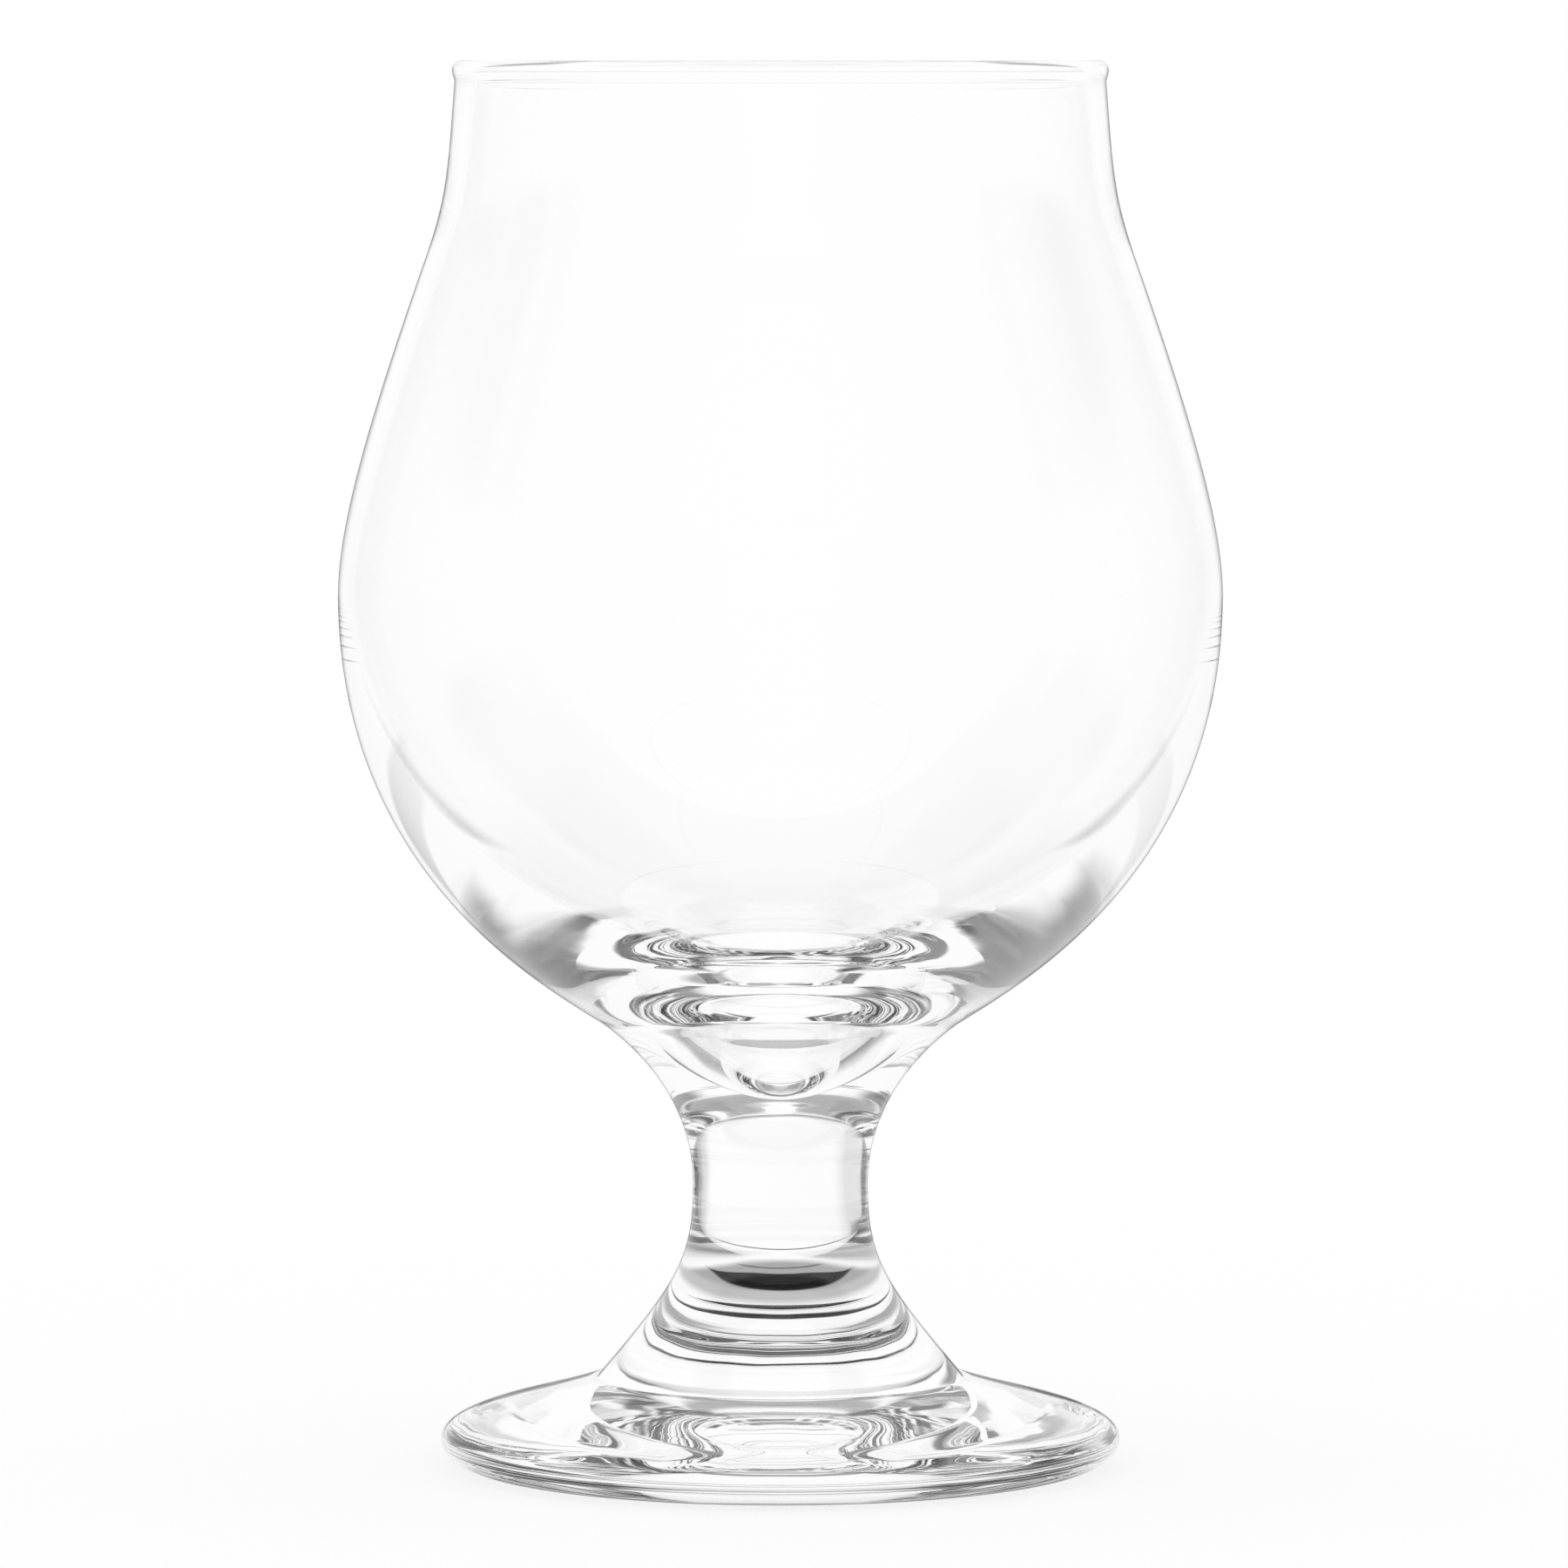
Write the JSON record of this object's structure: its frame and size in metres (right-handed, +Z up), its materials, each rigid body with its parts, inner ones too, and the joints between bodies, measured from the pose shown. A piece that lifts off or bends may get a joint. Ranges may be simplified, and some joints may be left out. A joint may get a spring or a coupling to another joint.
{
  "type": "beer chalice",
  "caption": "Clear glass beer chalice: tulip bowl with a rolled rim, solid waisted stem and domed round foot, for serving and drinking beer.",
  "frame": {"origin": "centre of the ring that the foot stands on, at table level", "axes": "+Z up along the axis of revolution, from the foot to the rim; X and Y are arbitrary"},
  "size_m": [0.0984, 0.0984, 0.1568],
  "materials": {
    "bowl_glass": "polished clear",
    "stem_glass": "polished clear",
    "foot_glass": "polished clear"
  },
  "bodies": {
    "root": {"bowl": "bowl_glass", "stem": "stem_glass", "foot": "foot_glass"}
  },
  "joints": []
}
